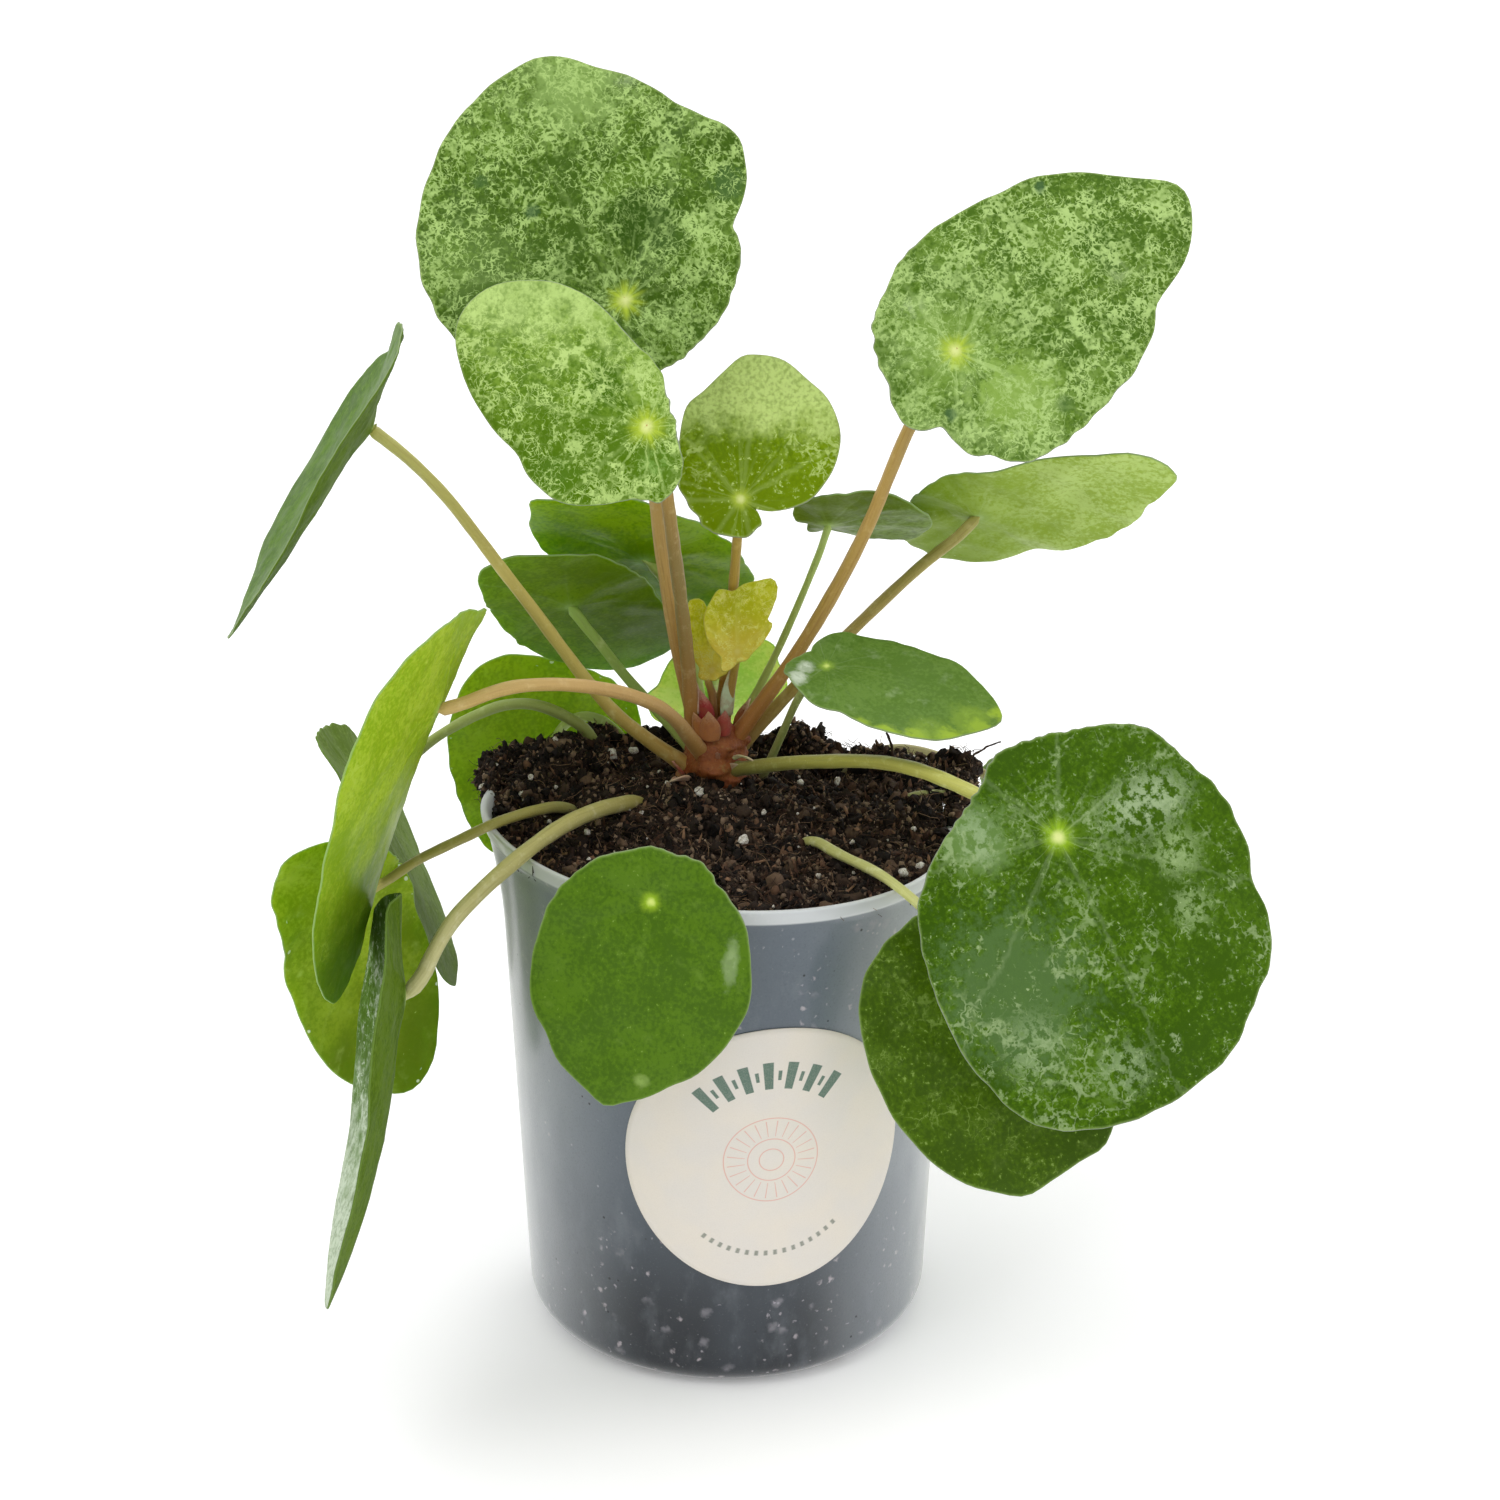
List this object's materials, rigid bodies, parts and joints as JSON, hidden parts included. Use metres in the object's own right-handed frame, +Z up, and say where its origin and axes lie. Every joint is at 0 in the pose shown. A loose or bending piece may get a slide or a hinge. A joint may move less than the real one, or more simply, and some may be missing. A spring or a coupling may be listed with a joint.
{
  "type": "potted pilea plant",
  "caption": "Round-leaved house plant in a round nursery pot of soil: flat round blades on arching stalks from one short stem, and a round sticker on the front.",
  "frame": {"origin": "middle of the pot's underside, on the surface it stands on", "axes": "+Z up; -Y is the front, where the round sticker is; +X is the right of the picture"},
  "size_m": [0.258, 0.2014, 0.3303],
  "materials": {
    "pot": "thin smoky grey nursery-pot plastic, satin",
    "label": "matt cream sticker",
    "soil": "moist dark peat mix with white perlite grains",
    "crown": "reddish brown young stem",
    "blade": "fleshy leaf with a waxy sheen, dark green with pale mottling",
    "young_blade": "young leaf, olive yellow",
    "petiole": "smooth leaf stalk, olive to tan"
  },
  "bodies": {
    "root": {"pot": "pot", "label": "label", "crown": "crown", "blade_top_left": "blade", "petiole_top_left": "petiole", "blade_upper_front": "blade", "petiole_upper_front": "petiole", "blade_top_right": "blade", "petiole_top_right": "petiole", "blade_upper_small": "blade", "petiole_upper_small": "petiole", "blade_right_flat": "blade", "petiole_right_flat": "petiole", "blade_right_small": "blade", "petiole_right_small": "petiole", "blade_far_left": "blade", "petiole_far_left": "petiole", "blade_left_bright": "blade", "petiole_left_bright": "petiole", "blade_left_hanging": "blade", "petiole_left_hanging": "petiole", "blade_left_low_rear": "blade", "petiole_left_low_rear": "petiole", "blade_left_low_folded": "blade", "petiole_left_low_folded": "petiole", "blade_front": "blade", "petiole_front": "petiole", "blade_right_large": "blade", "petiole_right_large": "petiole", "blade_right_low": "blade", "petiole_right_low": "petiole", "blade_right_round": "blade", "petiole_right_round": "petiole", "blade_rear_upper": "blade", "petiole_rear_upper": "petiole", "blade_rear_left": "blade", "petiole_rear_left": "petiole", "blade_rear_low": "blade", "petiole_rear_low": "petiole", "blade_rear_centre": "blade", "petiole_rear_centre": "petiole", "blade_rear_right": "blade", "petiole_rear_right": "petiole", "blade_rear_right_low": "blade", "petiole_rear_right_low": "petiole", "blade_young": "young_blade", "petiole_young": "petiole", "blade_bud": "young_blade", "petiole_bud": "petiole", "soil": "soil"}
  },
  "joints": []
}
